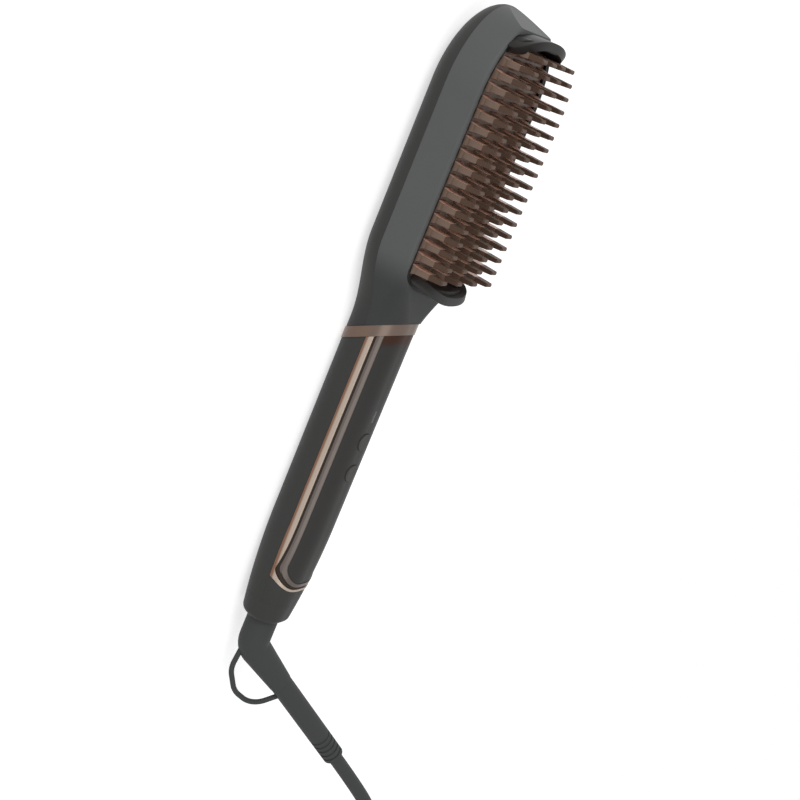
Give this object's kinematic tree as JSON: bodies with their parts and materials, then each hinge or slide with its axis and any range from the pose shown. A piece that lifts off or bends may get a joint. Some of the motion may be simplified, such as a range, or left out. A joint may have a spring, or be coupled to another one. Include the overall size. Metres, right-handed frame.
{
  "type": "hair straightening brush",
  "caption": "Heated hair straightening brush: toothed heating plate in a long oval head, round handle with two buttons, copper trim, swivel cord with a hanging loop and plug.",
  "frame": {"origin": "on the surface the brush lies on, under the middle of its length from head tip to end cap", "axes": "+Y towards the head's tip, +Z the way the teeth point, +X across the brush"},
  "size_m": [0.1472, 0.5976, 0.0738],
  "materials": {
    "black_plastic": "satin charcoal moulding",
    "grey_plastic": "satin grey soft-touch coating",
    "bronze_coating": "bronze ceramic coating on cast aluminium",
    "glossy_black": "glossy heat-resistant plastic",
    "heater_steel": "plain steel and ceramic heater",
    "mica": "pressed mica sheet",
    "sensor_glass": "glass bead thermistor",
    "lead_sleeve": "woven silicone sleeve",
    "screw_steel": "zinc-plated steel",
    "copper_trim": "satin rose-copper plating",
    "dark_bronze": "dark bronze line",
    "panel_plastic": "satin charcoal panel",
    "button_plastic": "satin grey",
    "lens_clear": "smoked diffuser",
    "light_white": "chip light",
    "board_green": "lacquered glass-fibre board",
    "capacitor_blue": "sleeved can",
    "contact_brass": "spring brass",
    "cord_rubber": "matt rubber",
    "tie_fabric": "woven hook-and-loop strap",
    "pin_metal": "nickel-plated brass"
  },
  "bodies": {
    "brush": {"rear_shell": "black_plastic", "front_housing": "grey_plastic", "plate_bezel": "black_plastic", "heating_plate": "bronze_coating", "cool_tips": "glossy_black", "heater_element": "heater_steel", "insulation_sheet": "mica", "heater_clamp": "heater_steel", "thermal_fuse": "heater_steel", "temperature_sensor": "sensor_glass", "heater_leads": "lead_sleeve", "head_screws": "screw_steel", "accent_ring": "copper_trim", "handle_front_shell": "black_plastic", "trim_frame": "copper_trim", "trim_inlay": "dark_bronze", "control_panel": "panel_plastic", "indicator_lens": "lens_clear", "indicator_lights": "light_white", "circuit_board": "board_green", "board_screws": "screw_steel", "tact_switches": "glossy_black", "capacitor": "capacitor_blue", "triac": "glossy_black", "mains_leads": "lead_sleeve", "end_cap": "black_plastic", "swivel_retainer": "black_plastic", "contact_block": "black_plastic", "contact_springs": "contact_brass"},
    "power_key": {"power_button": "button_plastic", "power_plunger": "glossy_black"},
    "temperature_key": {"temperature_button": "button_plastic", "temperature_plunger": "glossy_black"},
    "swivel": {"swivel_stem": "black_plastic", "slip_rings": "contact_brass", "swivel_elbow": "cord_rubber", "cord_boot": "cord_rubber", "hanging_loop": "cord_rubber", "power_cord": "cord_rubber", "cord_coil": "cord_rubber", "coil_tie": "tie_fabric", "cord_tail": "cord_rubber", "plug_body": "cord_rubber", "plug_pins": "pin_metal"}
  },
  "joints": [
    {"name": "power_press", "type": "slide", "parent": "brush", "child": "power_key", "axis": [0, 0, -1], "range_m": [0, 0.0006], "stiffness_N_per_m": 2500, "springref_m": -0.0002},
    {"name": "temperature_press", "type": "slide", "parent": "brush", "child": "temperature_key", "axis": [0, 0, -1], "range_m": [0, 0.0006], "stiffness_N_per_m": 2500, "springref_m": -0.0002},
    {"name": "cord_swivel", "type": "hinge", "parent": "brush", "child": "swivel", "pos_m": [0, -0.1436, 0.01325], "axis": [0, 1, 0], "continuous": true}
  ]
}
